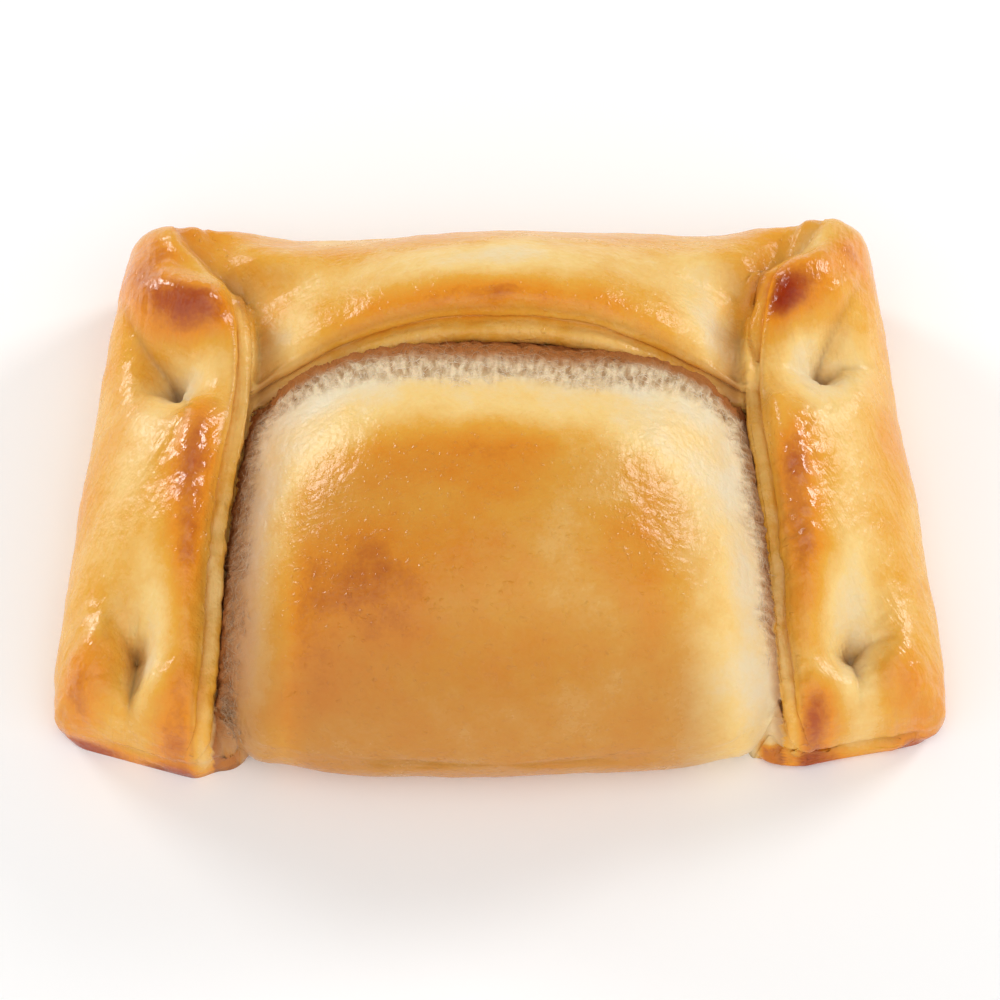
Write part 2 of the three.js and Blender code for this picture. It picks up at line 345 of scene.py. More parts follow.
class CrumbSettings(bpy.types.PropertyGroup):
    """Torn fibres between the flaps and the filled middle."""

    count: bpy.props.IntProperty(name="Fibres", description="Number of fibres", default=3000, min=0)
    length: bpy.props.FloatProperty(
        name="Length", description="Longest fibre", default=2.0 * MM, unit="LENGTH", min=0
    )
    thickness: bpy.props.FloatProperty(
        name="Thickness",
        description="Thickness of a fibre at its root",
        default=0.11 * MM,
        unit="LENGTH",
        min=0,
    )
    tint: colour_property("Fibre", "Colour of the fibres in the light", "f6e6cc")
    # Painted shade: the fibres' darker copy close under the flaps; the tint above is their colour in the
    # light.
    gap: colour_property("Gap", "Colour of the fibres close under the flaps", "a8763f")


class StageSettings(bpy.types.PropertyGroup):
    """Floor, lights and camera."""

    floor: colour_property("Floor", "Colour of the floor", "fdfcfb")
    side_light: bpy.props.FloatProperty(
        name="Side lights",
        description="Power of the soft boxes behind on either side",
        default=3.9,
        unit="POWER",
    )
    front_light: bpy.props.FloatProperty(
        name="Front lights", description="Power of the wide soft boxes in front", default=4.4, unit="POWER"
    )
    top_light: bpy.props.FloatProperty(
        name="Top light", description="Power of the soft box overhead", default=2.4, unit="POWER"
    )
    sky: bpy.props.FloatProperty(
        name="Sky", description="Strength of the light all round", default=0.38, min=0
    )
    elevation: bpy.props.FloatProperty(
        name="Elevation", description="Camera's angle above the floor", default=radians(60), subtype="ANGLE"
    )
    distance: bpy.props.FloatProperty(
        name="Distance", description="Camera's distance", default=0.7, unit="LENGTH", min=0
    )
    lens: bpy.props.FloatProperty(
        name="Lens", description="Focal length", default=147.9, subtype="DISTANCE_CAMERA", min=1
    )


# Where things lie on the crust


def smooth_line(points, steps=12):
    """A smooth line through points, as many short steps."""
    p = np.array(points, float)
    p = np.vstack([2 * p[0] - p[1], p, 2 * p[-1] - p[-2]])
    t = np.linspace(0, 1, steps, endpoint=False)[:, None]
    parts = []
    for a, b, c, d in zip(p, p[1:], p[2:], p[3:]):
        parts.append(b + 0.5 * t * (c - a + t * (2 * a - 5 * b + 4 * c - d + t * (3 * (b - c) + d - a))))
    return np.vstack([*parts, p[-2:-1]])


def beside(places, line):
    """How far places lie to the left of a line, and how far along it."""
    start, step = line[:-1], np.diff(line, axis=0)
    length = np.hypot(*step.T)
    before = np.concatenate([[0], np.cumsum(length)[:-1]])
    best = np.full(len(places), np.inf)
    aside = np.zeros(len(places))
    along = np.zeros(len(places))
    for a, d, reach, behind in zip(start, step, length, before):
        to = places - a
        share = np.clip(to @ d / reach**2, 0, 1)
        gap = to - share[:, None] * d
        distance = np.hypot(*gap.T)
        nearer = distance < best
        best[nearer] = distance[nearer]
        aside[nearer] = np.copysign(distance, d[0] * to[:, 1] - d[1] * to[:, 0])[nearer]
        along[nearer] = (behind + share * reach)[nearer]
    return aside, along


def spread(places, spot):
    """Distance of places from a spot's middle, as shares of its half length and half width."""
    x, y = (places - (spot.x, spot.y)).T
    turn = radians(spot.turn)
    along = (x * cos(turn) + y * sin(turn)) / spot.long
    across = (y * cos(turn) - x * sin(turn)) / spot.wide
    return np.hypot(along, across)


def spots(places, group, power=2.0):
    """What a group of soft spots adds up to at places."""
    return sum(spot.amount * np.exp(-spread(places, spot) ** power) for spot in group)


def rough(points, size):
    """Smooth noise at points, from -1 to 1, whose lumps have about this size."""
    return np.array([noise.noise(Vector(p)) for p in points / size])


def ease(values, low, high):
    """0 below low, 1 above high and a smooth rise between."""
    t = np.clip((values - low) / (high - low), 0, 1)
    return t * t * (3 - 2 * t)


class Crust:
    """Zones of the crust's points: which flap or middle they are on, and how far from the flaps' edges."""

    def __init__(self, points):
        self.points = points
        self.plan = points[:, :2]
        self.height = points[:, 2]
        left, left_along = beside(self.plan, smooth_line(LEFT_EDGE))
        right, right_along = beside(self.plan, smooth_line(RIGHT_EDGE))
        back, back_along = beside(self.plan, smooth_line(BACK_EDGE))
        self.side = np.maximum(left, right)
        self.back = back
        self.on_side = self.side > 0
        self.on_belly = np.maximum(self.side, back) <= 0
        self.on_back = ~self.on_side & ~self.on_belly
        self.edge = np.where(self.on_side, self.side, np.maximum(self.side, back))
        side_along = np.where(left > right, left_along, right_along.max() - right_along)
        self.along = np.where(self.side > np.where(self.on_side, -np.inf, back), side_along, back_along)
        self.above_tray = ease(self.height, 0.2, 3)
        self.off_side_flap = ease(-self.side, -0.6, 0.5)

    def grain(self):
        """Places across and along the way that the dough is stretched."""
        slant = np.where(self.on_side & (self.edge > LAYERS), radians(SIDE_SLANT), 0)
        across = self.edge * np.cos(slant) + self.along * np.sin(slant)
        along = self.along * np.cos(slant) - self.edge * np.sin(slant)
        return np.stack([across, along, np.zeros(len(across))], axis=1)

    def stretched(self):
        """How much the dough is wrinkled by stretching: least on the filled middle and at the seams."""
        seam = np.minimum(np.abs(self.side), np.where(self.on_side, np.inf, np.abs(self.back)))
        groove = np.where(self.on_side, np.abs(self.edge - LAYERS), np.inf)
        on_flap = np.where(self.edge < LAYERS, 1.3, 1)
        most = np.where(self.on_belly, 0.2, np.where(self.on_back, 0.5, on_flap))
        return most * ease(seam, 0.3, 1.6) * ease(groove, 0.2, 1)


def rings(crust):
    """Distance from the nearest middle of rings, and how strong the rings are there."""
    away = np.min([np.hypot(*(crust.plan - middle).T) for middle in RINGS], axis=0)
    strength = np.where(crust.on_belly, 1 - ease(away, 0.3 * RING_REACH, RING_REACH), 0)
    return np.stack([away, strength, np.zeros(len(away))], axis=1)


# Relief of the crust


def crease_relief(plan, creases, power):
    """Height that creases add, which fades along their paths."""
    relief = np.zeros(len(plan))
    for crease in creases:
        line = smooth_line(crease.path)
        aside, along = beside(plan, line)
        passed = along / np.hypot(*np.diff(line, axis=0).T).sum()
        reach = np.where(aside > 0, crease.left, crease.right)
        sunk = crease.depth * (1 - (1 - crease.share) * passed)
        relief -= sunk * np.exp(-np.abs(aside / reach) ** power)
    return relief


def blister_relief(plan, draw):
    """Height of the blisters, scattered in their patches."""
    relief = np.zeros(len(plan))
    for patch in BLISTERS:
        turn = radians(patch.turn)
        for _ in range(patch.count):
            u, v = draw.gauss(0, 0.6) * patch.long, draw.gauss(0, 0.6) * patch.wide
            x = patch.x + u * cos(turn) - v * sin(turn)
            y = patch.y + u * sin(turn) + v * cos(turn)
            width = draw.uniform(*patch.width)
            spot = Spot(x, y, width * draw.uniform(0.5, 0.9), width / 2, draw.uniform(0, 180), 0)
            dome = np.clip(1 - spread(plan, spot) ** 2, 0, None)
            relief = np.maximum(relief, patch.rise * draw.uniform(0.4, 1) * dome)
    for spot in BIG_BLISTERS:
        relief = np.maximum(relief, spot.amount * np.clip(1 - spread(plan, spot) ** 2, 0, None) ** 0.8)
    return relief


def corner_fill(crust):
    """Height of the dough behind the side flaps' tips, where the back flap meets the rolled corners."""
    side = crust.side
    slope = np.where(side < -4, np.exp(-(((side + 4) / 9) ** 2)), ease(-side, -5, 4))
    fill = 5.0 * slope * ease(crust.plan[:, 1], TIP_Y, TIP_Y + 7) * ease(crust.height, 4, 18)
    return fill + spots(crust.plan, BACK_SWELLS) * ease(crust.height, 1, 8)


def front_fill(crust):
    """Height of the filled middle's dough in the notches beside the side flaps' front corners."""
    x, y = np.abs(crust.plan[:, 0]), -crust.plan[:, 1]
    start = np.where(crust.plan[:, 0] < 0, 38, 33)
    notch = ease(x, 40, 43) * (1 - ease(x, 45, 47.5)) * ease(y, start, start + 5) * (1 - ease(y, 45, 46.5))
    fill = 4.0 * notch * ease(crust.height, 1, 4) * (1 - ease(crust.height, 10, 16)) * crust.off_side_flap
    on_lip = ease(-crust.side, 0.4, 1.6) * ease(y, 44.2, 46.4) * ease(x, 43, 45)
    return fill - on_lip * np.maximum(crust.height - 4, 0)


def front_push(crust):
    """How far the front's dough moves back: the filled middle swells out to the flaps, the lips draw in."""
    x, y = crust.plan.T
    out = np.abs(x)
    corner = np.where(x < 0, 2.2, 1.6) * np.exp(-(((out - 42) / 3.6) ** 2))
    middle = 0.8 * ease(-x, -15, 25) * (1 - ease(out, 40, 46))
    over_lip = np.maximum(ease(crust.height, 3.5, 6.5), 1 - ease(out, 40.5, 42.5))
    swell = np.where(crust.on_belly, (corner + middle) * ease(-y, 33, 41) * over_lip, 0)
    lip = ease(-y, 42, 48) * (1 - ease(crust.height, 4, 7)) * ease(out, 41, 44) * (1 - ease(out, 62, 70))
    draw_in = np.where(x < 0, 1.8 * (1 - ease(out, 47, 52)), 1.0 + 1.2 * (1 - ease(out, 46, 52)))
    return draw_in * lip - swell


def crust_rise(crust):
    """How far each point of the crust rises, in millimetres: pits, creases, crests and filled cracks."""
    plan = crust.plan
    pinched = spots(plan, PIT_FILL, PIT_POWER) + spots(plan, SWELLS) + crease_relief(plan, PINCHES, 1.25)
    rise = np.where(crust.on_side, pinched * ease(crust.height, 4, 11), 0)
    folded = crease_relief(plan, CRESTS, 2) + crease_relief(plan, FOLDS, 1.5)
    past_tips = ease(plan[:, 1], TIP_Y - 2.5, TIP_Y + 0.5)
    off_seam = np.where(crust.on_back, ease(-crust.side, 0, 1), 1)
    inside = np.maximum(ease(crust.edge, 2.5, 4.5) * off_seam, past_tips)
    rise += np.where(crust.on_belly, 0, folded * inside * ease(crust.height, 2, 14) + corner_fill(crust))
    under_back = 2.8 * np.exp(-((crust.back / 6.5) ** 2)) * ease(-crust.side, 1, 7)
    under_side = 1.5 * np.exp(-((crust.side / 3.2) ** 2)) * ease(crust.height, 3, 9) * crust.off_side_flap
    rise += np.where(crust.back <= 0, np.maximum(under_back, under_side) + front_fill(crust), 0)
    return rise * crust.above_tray


def crust_swell(crust, settings, draw):
    """How far each point of the crust moves out along its normal, in millimetres."""
    points, grain = crust.points, crust.grain()
    swell = settings.swell * (rough(points, 13) + 0.45 * rough(points, 5.5))
    swell += np.where(crust.on_belly, 0.05, 0.1) * rough(points, 2.2)
    swell += 0.16 * crust.stretched() * rough(grain / (2.0, 11, 1), 1)
    swell += blister_relief(crust.plan, draw)
    swell -= 0.9 * front_ledge(crust)
    torn = crumb_share(crust)
    swell += settings.tear * torn * (rough(points, 1.5) + 0.8 * rough(points, 0.8))
    lower_layer = np.exp(-((crust.edge - 0.2) / 1.1) ** 2)
    wave = np.stack([crust.along, crust.height * 0.3, np.zeros(len(points))], axis=1)
    lower_layer *= np.where(crust.on_back, 1, 1 - ease(crust.plan[:, 1], 2, 10))
    ragged = settings.ragged * ease(crust.height, 6, 12) * (rough(wave, 3.1) + 0.8 * rough(wave, 1.2))
    back_lip = 1.2 * ease(crust.back, -0.6, 0.2) * (1 - ease(np.abs(crust.plan[:, 0]), 18, 32))
    side_lip = 0.5 * ease(crust.height, 9, 14) * ease(crust.side, -0.5, 0.6)
    swell += lower_layer * (ragged + side_lip + back_lip)
    return swell * crust.above_tray


def front_ledge(crust):
    """How near points of the front are to the line between the flaps and the lips under them."""
    x, y = crust.plan.T
    shown = ease(x, 40, 44) * (1 - ease(x, 66, 74)) + 0.35 * ease(-x, 46, 48) * (1 - ease(-x, 62, 70))
    return shown * ease(crust.side, 0, 3) * np.exp(-(((crust.height - 4.6) / 0.8) ** 2)) * ease(-y, 34, 40)


def crumb_share(crust):
    """How torn the dough is: all along the flaps' edges on the filled middle, fading out from them."""
    uneven = 1.4 * rough(crust.points, 6) + 1.1 * rough(crust.points, 2)
    x, y = crust.plan.T
    wide = 1 + 0.9 * ease(-x, 20, 36) + 0.5 * ease(x, 20, 36) * (1 - ease(-y, 12, 28))
    side = 1 - ease(-crust.side, (0.8 + 0.5 * uneven) * wide, (3.4 + uneven) * wide)
    reach = 1 - 0.4 * ease(np.abs(x), 14, 34)
    back = 1 - ease(-crust.back, (9.5 + 0.8 * uneven) * reach, (15 + 1.4 * uneven) * reach)
    shown = ease(crust.height, 7, 13) * (1 - ease(x, 20, 36) * ease(-y, 30, 42))
    return np.where(crust.on_belly, np.maximum(side, back) * shown, 0)


def painted_shade_and_bake_share(crust):
    """How much painted shade darkens the dough: most close under the flaps, wider on the left, in the back
    flap's valleys and folds beside the rolled corners and towards the filled middle's front, and a little
    all over the baked middle as its darker bake.
    """
    x, y = crust.plan.T
    # Painted shade close under the side flaps and the back flap, and over the filled middle's left and
    # right margins beside the flaps.
    side = np.where(x < 0, 1, 0.6) * (1 - ease(-crust.side, 0.2, np.where(x < 0, 3.8, 2.8)))
    reach = 14 + 8 * ease(-y, 25, 48)
    left = ease(-x, 16, 36) * (0.3 + 0.48 * ease(-y, -5, 35)) * (1 - ease(-crust.side, 3, reach))
    narrow = 1 - 0.45 * ease(np.abs(x), 8, 28)
    back = 1 - ease(-crust.back, 4 * narrow, 9.5 * narrow)
    right = 0.16 * ease(x, 25, 36) * (1 - ease(-crust.side, 2, 11)) * ease(-y, 5, 35)
    # Painted shade in the back flap's valleys beside the side flaps and in the folds where the rolled
    # corners lie on it.
    valley_shade = np.where(crust.on_back, 0.6 * ease(-crust.side, 0.2, 1.5) * (1 - ease(-crust.side, 1.5, 8)), 0)
    valley_shade *= 1 - ease(y, 22, 30)
    tuck = -crease_relief(crust.plan, TUCKS, 1.2) * ease(crust.height, 6, 14)
    # The baked middle's darker bake, a little more on the left, and painted shade towards its front, which
    # turns away from the lights.
    baked = 0.25 + 0.1 * ease(-x, -20, 30) + 0.3 * ease(-y, 32, 50)
    baked *= ease(-crust.side, 6, 18) * ease(-crust.back, 20, 32)
    belly = np.max([side, left, right, back, baked], axis=0)
    return np.where(crust.on_belly, belly, np.maximum(valley_shade, tuck))


def painted_crevice_shade(crust):
    """How much painted shade darkens the bottoms of the pinched creases, the groove between the layers and
    the line between the flaps and the lips under them, from 0 to 1.
    """
    core = [Crease(c.depth, c.share, 0.4 * c.left**0.5, 0.4 * c.right**0.5, c.path) for c in PINCHES]
    creases = np.where(crust.on_side, -crease_relief(crust.plan, core, 1.3) / 3.8, 0)
    before_tips = 1 - ease(crust.plan[:, 1], TIP_Y - 3, TIP_Y + 1)
    groove = before_tips * np.exp(-(((crust.edge - LAYERS) / 0.3) ** 2))
    dark = np.maximum(creases, 0.35 * groove) * ease(crust.height, 4, 11)
    return np.clip(np.maximum(dark, 0.6 * front_ledge(crust)), 0, 1)


def sheen(crust):
    """How much the crust shines: 1 where it is evenly baked."""
    return np.clip(1 - spots(crust.plan, DULLNESS), 0, 2) * np.where(crust.on_belly, 0.8, 1)


def browning(crust):
    """How brown the crust is, from 0, pale, to 1, scorched."""
    plan = crust.plan
    right = ease(plan[:, 0], -10, 20)
    beside_flap = 0.45 * ease(-crust.side, 4, 10) + 0.55 * ease(-crust.side, 5 + 5 * right, 15 + 7 * right)
    margin = beside_flap * (0.34 * ease(-crust.back, 10, 15) + 0.66 * ease(-crust.back, 18, 29))
    margin += (1 - margin) * 0.35 * ease(-plan[:, 1], 40, 50)
    belly = (0.5 + spots(plan, BELLY_BROWN)) * (0.1 + 0.9 * margin)
    low = 1 - ease(crust.height, 4.5, 6.5)
    lip = ease(np.abs(plan[:, 0]), 42.8, 44.8) * low * ease(-plan[:, 1], 38, 42)
    belly += lip * (0.74 - belly)
    flap = 0.46 + spots(plan, FLAP_BROWN)
    back_band = 0.25 * np.exp(-(((crust.back - 5.4) / 2.8) ** 2))
    flap += back_band * (1 - ease(np.abs(plan[:, 0]), 12, 32))
    before_tips = 1 - ease(plan[:, 1], TIP_Y - 2, TIP_Y + 3)
    back_layers = np.where(crust.on_side, 0, 0.5 * np.exp(-(((crust.back - 1.4) / 1.6) ** 2)))
    layers = np.maximum(0.8 * np.exp(-(((crust.side - 1.4) / 1.6) ** 2)), back_layers)
    flap += before_tips * layers * (0.34 - flap)
    flap += 0.12 * (1 - ease(crust.height, 0.5, 4))
    flap += 0.1 * (1 - ease(crust.height, 2.5, 5)) * ease(-plan[:, 1], 34, 40)
    return np.clip(np.where(crust.on_belly, belly, flap), 0, 1)


# Materials


def node(tree, kind, values=None, links=None, **settings):
    """A new node with these socket values, links and settings."""
    made = tree.nodes.new(kind)
    for name, value in settings.items():
        setattr(made, name, value)
    for name, value in (values or {}).items():
        made.inputs[name].default_value = value
    for name, socket in (links or {}).items():
        tree.links.new(socket, made.inputs[name])
    return made


def math_node(tree, operation, first, second):
    """One sum of two sockets or numbers."""
    made = tree.nodes.new("ShaderNodeMath")
    made.operation = operation
    for i, value in enumerate((first, second)):
        if isinstance(value, bpy.types.NodeSocket):
            tree.links.new(value, made.inputs[i])
        else:
            made.inputs[i].default_value = value
    return made.outputs[0]


def noise_node(tree, vector, scale, detail=2.0):
    """Noise between about -0.5 and 0.5."""
    made = node(tree, "ShaderNodeTexNoise", {"Scale": scale, "Detail": detail}, {"Vector": vector})
    return math_node(tree, "SUBTRACT", made.outputs["Fac"], 0.5)


def ramp_node(tree, factor, stops):
    """A colour ramp through stops of position and colour."""
    made = node(tree, "ShaderNodeValToRGB", links={"Fac": factor})
    ramp = made.color_ramp
    while len(ramp.elements) < len(stops):
        ramp.elements.new(1)
    for element, (position, colour) in zip(ramp.elements, stops):
        element.position = position
        element.color = (*colour, 1)
    return made.outputs["Color"]


def mix_node(tree, share, first, second):
    """A blend of two colours, the second a socket or a plain colour."""
    made = node(tree, "ShaderNodeMix", links={"Factor": share}, data_type="RGBA")
    ends = {socket.identifier: socket for socket in made.inputs}
    tree.links.new(first, ends["A_Color"])
    if isinstance(second, bpy.types.NodeSocket):
        tree.links.new(second, ends["B_Color"])
    else:
        ends["B_Color"].default_value = (*second, 1)
    return next(socket for socket in made.outputs if socket.identifier == "Result_Color")


def attribute_node(tree, name):
    """A value stored at the mesh's points."""
    return node(tree, "ShaderNodeAttribute", attribute_name=name).outputs["Fac"]


def bump_node(tree, height, distance, under=None):
    """Fine relief of this height in metres, over the relief under it."""
    links = {"Height": height}
    if under is not None:
        links["Normal"] = under
    return node(tree, "ShaderNodeBump", {"Strength": 1.0, "Distance": distance}, links).outputs["Normal"]


def new_material(name):
    """An empty node material with its shader, and the shader's node."""
    material = bpy.data.materials.new(name)
    material.use_nodes = True
    tree = material.node_tree
    tree.nodes.clear()
    shader = node(tree, "ShaderNodeBsdfPrincipled")
    node(tree, "ShaderNodeOutputMaterial", links={"Surface": shader.outputs["BSDF"]})
    return material, tree, shader


def crust_material(settings):
    """Baked dough: mottled browning with pale folds, stretch wrinkles, pinholes and torn crumb, with
    painted shade close under the flaps, in the crumb's hollows and in the creases.
    """
    material, tree, shader = new_material("baked_crust")
    place = node(tree, "ShaderNodeTexCoord").outputs["Object"]
    brown = attribute_node(tree, "browning")
    torn = attribute_node(tree, "crumb")
    stretch = attribute_node(tree, "stretch")
    grain = node(tree, "ShaderNodeAttribute", attribute_name="grain").outputs["Vector"]

    clouds = math_node(tree, "MULTIPLY", noise_node(tree, place, 75, 3), 0.4)
    mottle = math_node(tree, "MULTIPLY", noise_node(tree, place, 240, 4), 0.2)
    freckles = math_node(tree, "MULTIPLY", noise_node(tree, place, 1300, 3), 0.11)
    baked = math_node(tree, "ADD", brown, clouds)
    baked = math_node(tree, "ADD", baked, math_node(tree, "ADD", mottle, freckles))
    stops = [
        (0.0, settings.pale),
        (0.24, settings.cream),
        (0.46, settings.gold),
        (0.66, settings.amber),
        (0.84, settings.brown),
        (1.0, settings.burnt),
    ]
    crust_colour = ramp_node(tree, baked, stops)
    # Painted shade in the crumb: noise in strands across the flaps' edges picks between its lit colour and
    # its darker hollow copy.
    strands = node(tree, "ShaderNodeMapping", {"Scale": (330, 1000, 1000)}, {"Vector": grain})
    crumb_shade = noise_node(tree, strands.outputs["Vector"], 1, 4)
    crumb_colour = ramp_node(
        tree,
        math_node(tree, "ADD", crumb_shade, 0.5),
        [(0.34, settings.crumb_hollow_shade), (0.62, settings.crumb)],
    )
    colour = mix_node(tree, math_node(tree, "MULTIPLY", torn, 0.85), crust_colour, crumb_colour)
    # Painted shade close under the flaps, in the valleys and towards the filled middle's front, with the
    # middle's darker bake.
    colour = mix_node(tree, attribute_node(tree, "gap"), colour, settings.gap)
    # Painted shade at the bottoms of the creases, in the groove between the layers and along the front
    # ledge.
    shadow = math_node(tree, "MULTIPLY", attribute_node(tree, "crevice_shade"), 0.5)
    colour = mix_node(tree, shadow, colour, settings.crevice_shade)
    tree.links.new(colour, shader.inputs["Base Color"])

    gloss = math_node(tree, "MULTIPLY", baked, -0.36)
    dry = math_node(tree, "MULTIPLY", torn, 0.5)
    roughness = math_node(tree, "ADD", math_node(tree, "ADD", gloss, 0.42), dry)
    tree.links.new(roughness, shader.inputs["Roughness"])

    stretched = node(tree, "ShaderNodeMapping", {"Scale": (1000, 170, 1000)}, {"Vector": grain})
    wrinkles = math_node(tree, "MULTIPLY", noise_node(tree, stretched.outputs["Vector"], 1, 3), stretch)
    peel = noise_node(tree, place, 650, 3)
    pimples = math_node(tree, "SUBTRACT", noise_node(tree, place, 900, 1), 0.1)
    pimples = math_node(tree, "MAXIMUM", pimples, 0)
    even = math_node(tree, "MULTIPLY", brown, math_node(tree, "SUBTRACT", 1.0, stretch))
    pimples = math_node(tree, "MULTIPLY", pimples, math_node(tree, "MAXIMUM", even, 0))
    ring_place = node(tree, "ShaderNodeAttribute", attribute_name="rings").outputs["Vector"]
    away = node(tree, "ShaderNodeSeparateXYZ", links={"Vector": ring_place})
    turn = math_node(tree, "MULTIPLY", away.outputs["X"], 5.4)
    turn = math_node(tree, "ADD", turn, math_node(tree, "MULTIPLY", noise_node(tree, place, 260), 9))
    ripples = math_node(tree, "MULTIPLY", math_node(tree, "SINE", turn, 0), away.outputs["Y"])
    fuzz = math_node(tree, "MULTIPLY", noise_node(tree, place, 1500, 4), torn)
    normal = bump_node(tree, wrinkles, 0.22 * MM)
    normal = bump_node(tree, peel, 0.26 * MM, normal)
    normal = bump_node(tree, pimples, 1.6 * MM, normal)
    normal = bump_node(tree, ripples, 0.007 * MM, normal)
    normal = bump_node(tree, fuzz, 0.7 * MM, normal)
    tree.links.new(normal, shader.inputs["Normal"])
    shine = math_node(tree, "MULTIPLY", attribute_node(tree, "sheen"), 0.34)
    tree.links.new(shine, shader.inputs["Specular IOR Level"])
    shader.inputs["Subsurface Weight"].default_value = 0.12
    shader.inputs["Subsurface Radius"].default_value = (1.0, 0.45, 0.2)
    shader.inputs["Subsurface Scale"].default_value = 2.2 * MM
    return material


def crumb_material(settings):
    """Dry pale fibres, darkened by painted shade close under the flaps."""
    material, tree, shader = new_material("torn_crumb")
    place = node(tree, "ShaderNodeTexCoord").outputs["Object"]
    shade = math_node(tree, "ADD", noise_node(tree, place, 250, 3), 0.5)
    colour = ramp_node(tree, shade, [(0.3, [0.75 * c for c in settings.tint]), (0.65, settings.tint)])
    # Painted shade on the fibres close under the flaps.
    painted_shade_under_flap = math_node(tree, "MULTIPLY", attribute_node(tree, "gap"), 0.9)
    colour = mix_node(tree, painted_shade_under_flap, colour, settings.gap)
    tree.links.new(colour, shader.inputs["Base Color"])
    shader.inputs["Roughness"].default_value = 0.85
    return material


# Pieces


def folded_form(fineness):
    """The folded dough as a smooth mesh, from a merged copy of the frame's solid."""
    bm = bmesh.new()
    bm.from_mesh(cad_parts[NODE].data)
    bmesh.ops.remove_doubles(bm, verts=bm.verts, dist=WELD)
    bmesh.ops.join_triangles(
        bm, faces=bm.faces, angle_face_threshold=radians(60), angle_shape_threshold=radians(60)
    )
    sharp = bm.edges.layers.float.new("crease_edge")
    for edge in bm.edges:
        faces = edge.link_faces
        flat = [f for f in faces if f.normal.z < -0.999]
        if len(flat) == 1:
            edge[sharp] = 1
        elif len(faces) == 2 and edge.calc_face_angle_signed(0) < radians(-40):
            edge[sharp] = 0.8
    soften(bm, sharp)
    mesh = bpy.data.meshes.new("folded_form")
    bm.to_mesh(mesh)
    bm.free()
    form = bpy.data.objects.new("folded_form", mesh)
    bpy.context.scene.collection.objects.link(form)
    subdivision = form.modifiers.new("Subdivision", "SUBSURF")
    subdivision.levels = fineness
    subdivision.render_levels = fineness
    evaluated = form.evaluated_get(bpy.context.evaluated_depsgraph_get())
    smooth = bpy.data.meshes.new_from_object(evaluated)
    bpy.data.objects.remove(form)
    bpy.data.meshes.remove(mesh)
    return smooth


def soften(bm, sharp):
    """Smooths the layers behind the tips, where the dough rolls over, and the front corners' notches."""
    points = np.array([v.co for v in bm.verts]) / MM
    crust = Crust(points)
    x, y, z = np.abs(points[:, 0]), points[:, 1], points[:, 2]
    rolled = ease(y, TIP_Y, TIP_Y + 4) * ease(crust.side, -6, -3) * (1 - ease(crust.side, 5, 8))
    rolled *= ease(z, 4, 9)
    notch = ease(x, 39, 41) * ease(-crust.side, -0.5, 0.5) * ease(-y, 39, 42) * ease(z, 2, 4)
    soft = np.maximum(rolled, notch)
    bm.verts.ensure_lookup_table()
    for edge in bm.edges:
        if all(soft[v.index] > 0.3 for v in edge.verts):
            edge[sharp] = 0
    for turn in range(SOFT_TURNS):
        loose = [bm.verts[i] for i in np.flatnonzero(soft > (turn + 0.5) / SOFT_TURNS)]
        bmesh.ops.smooth_vert(
            bm, verts=loose, factor=0.5, use_axis_x=True, use_axis_y=True, use_axis_z=True
        )


def point_values(mesh, name, kind, width):
    """The mesh's own value of this name at its points, as an array."""
    values = np.zeros(len(mesh.vertices) * width)
    getattr(mesh, kind).foreach_get(name, values)
    return values.reshape(-1, width)


def store(mesh, name, values):
    """Keeps a number or a place for each point of the mesh, for its material."""
    kind, field = ("FLOAT", "value") if values.ndim == 1 else ("FLOAT_VECTOR", "vector")
    attribute = mesh.attributes.new(name, kind, "POINT")
    attribute.data.foreach_set(field, values.astype(np.float32).ravel())


def make_crust(settings):
    """The crust with its relief, browning and material."""
    mesh = folded_form(settings.fineness)
    points = point_values(mesh, "co", "vertices", 3) / MM
    crust = Crust(points)
    points[:, 1] += front_push(crust)
    points[:, 2] += crust_rise(crust)
    mesh.vertices.foreach_set("co", (points * MM).ravel())
    mesh.update()
    normals = point_values(mesh, "vector", "vertex_normals", 3)
    points += normals * crust_swell(crust, settings, random.Random(BLISTER_SEED))[:, None]
    points[:, 2] = np.maximum(points[:, 2], 0)
    mesh.vertices.foreach_set("co", (points * MM).ravel())
    store(mesh, "browning", browning(crust))
    store(mesh, "crumb", crumb_share(crust))
    store(mesh, "stretch", crust.stretched())
    store(mesh, "grain", crust.grain() * MM)
    store(mesh, "rings", rings(crust))
    # Painted shade for the creases, the groove and the front ledge, and close under the flaps with the
    # middle's darker bake.
    store(mesh, "crevice_shade", painted_crevice_shade(crust))
    store(mesh, "gap", painted_shade_and_bake_share(crust))
    store(mesh, "sheen", sheen(crust))
    mesh.shade_smooth()
    mesh.materials.clear()
    mesh.materials.append(crust_material(settings))
    mesh.update()
    piece = bpy.data.objects.new("crust", mesh)
    bpy.context.scene.collection.objects.link(piece)
    return piece


